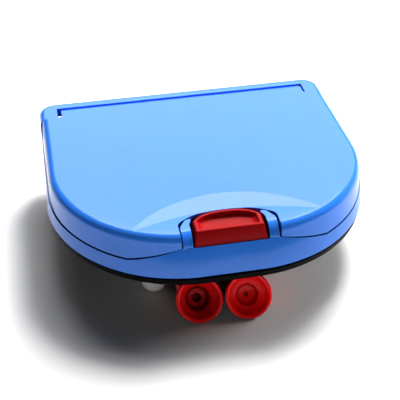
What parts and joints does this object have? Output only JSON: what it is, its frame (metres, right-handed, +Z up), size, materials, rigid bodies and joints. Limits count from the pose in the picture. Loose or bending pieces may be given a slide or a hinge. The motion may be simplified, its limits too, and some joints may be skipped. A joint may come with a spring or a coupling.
{
  "type": "contact lens case",
  "caption": "D-shaped hinged contact lens case with a push-button latch, a mirror lid, screw-capped lens wells and a dock under it for suction cups and a drop bottle.",
  "frame": {"origin": "centre of the bounding box's underside, on the table the case stands on", "axes": "+X to the right across the case, +Y from the latch at the front to the hinge at the back, +Z up"},
  "size_m": [0.1154, 0.101, 0.034],
  "materials": {
    "blue_gloss": "high gloss sky-blue moulding",
    "blue_satin": "satin pale-blue moulding",
    "black_plastic": "black moulding",
    "black_rubber": "black rubber",
    "red_gloss": "semi-gloss red moulding",
    "red_silicone": "soft see-through red silicone",
    "white_plastic": "gloss white moulding",
    "white_rubber": "soft white seal",
    "steel": "bright steel",
    "mirror": "silvered glass"
  },
  "bodies": {
    "case": {"base_shell": "blue_gloss", "bottom_plate": "black_plastic", "hinge_pin_left": "steel", "hinge_pin_right": "steel", "button_spring": "steel", "latch_guide": "black_plastic", "inner_tray": "blue_satin", "lens_well_left": "white_plastic", "lens_well_right": "white_plastic", "tweezers": "white_plastic", "tweezer_tips": "red_silicone", "applicator_stick": "white_plastic", "applicator_tip": "red_silicone", "accessory_dock": "black_plastic", "foot_rear_left": "black_rubber", "foot_rear_right": "black_rubber", "foot_front_left": "black_rubber", "foot_front_right": "black_rubber", "base_screws": "steel", "dock_screws": "steel", "guide_screws": "steel"},
    "lid": {"lid": "blue_gloss", "lid_catch": "white_plastic", "mirror": "mirror", "mirror_frame": "blue_satin"},
    "button": {"latch_button": "red_gloss"},
    "latch": {"latch_bar": "white_plastic"},
    "left_cap": {"well_cap_left": "red_gloss", "cap_seal_left": "white_rubber"},
    "right_cap": {"well_cap_right": "white_plastic", "cap_seal_right": "white_rubber"},
    "inserter": {"suction_inserter": "red_silicone"},
    "remover": {"suction_remover": "red_silicone"},
    "bottle": {"drop_bottle": "white_plastic", "bottle_nozzle": "white_plastic"},
    "bottle_top": {"bottle_cap": "white_plastic"}
  },
  "joints": [
    {"name": "lid_hinge", "type": "hinge", "parent": "case", "child": "lid", "pos_m": [0, 0.04111, 0.0309], "axis": [-1, 0, 0], "range_deg": [0, 94]},
    {"name": "button_press", "type": "slide", "parent": "case", "child": "button", "axis": [0, 0, -1], "range_m": [0, 0.0016], "stiffness_N_per_m": 1500, "deforming": ["button_spring"]},
    {"name": "latch_slide", "type": "slide", "parent": "case", "child": "latch", "axis": [0, 1, 0], "range_m": [0, 0.0016]},
    {"name": "left_cap_turn", "type": "hinge", "parent": "case", "child": "left_cap", "pos_m": [-0.03, -0.00429, 0.028], "axis": [0, 0, 1], "continuous": true},
    {"name": "right_cap_turn", "type": "hinge", "parent": "case", "child": "right_cap", "pos_m": [0.03, -0.00429, 0.028], "axis": [0, 0, 1], "continuous": true},
    {"name": "inserter_pull", "type": "slide", "parent": "case", "child": "inserter", "axis": [0, -1, 0], "range_m": [0, 0.025]},
    {"name": "remover_pull", "type": "slide", "parent": "case", "child": "remover", "axis": [0, -1, 0], "range_m": [0, 0.025]},
    {"name": "bottle_pull", "type": "slide", "parent": "case", "child": "bottle", "axis": [0, -1, 0], "range_m": [0, 0.034]},
    {"name": "bottle_cap_turn", "type": "hinge", "parent": "bottle", "child": "bottle_top", "pos_m": [-0.024, 0.01271, 0.0053], "axis": [0, 1, 0], "continuous": true}
  ],
  "couplings": [
    {"joint": "latch_slide", "follows": "button_press", "ratio": 1}
  ]
}
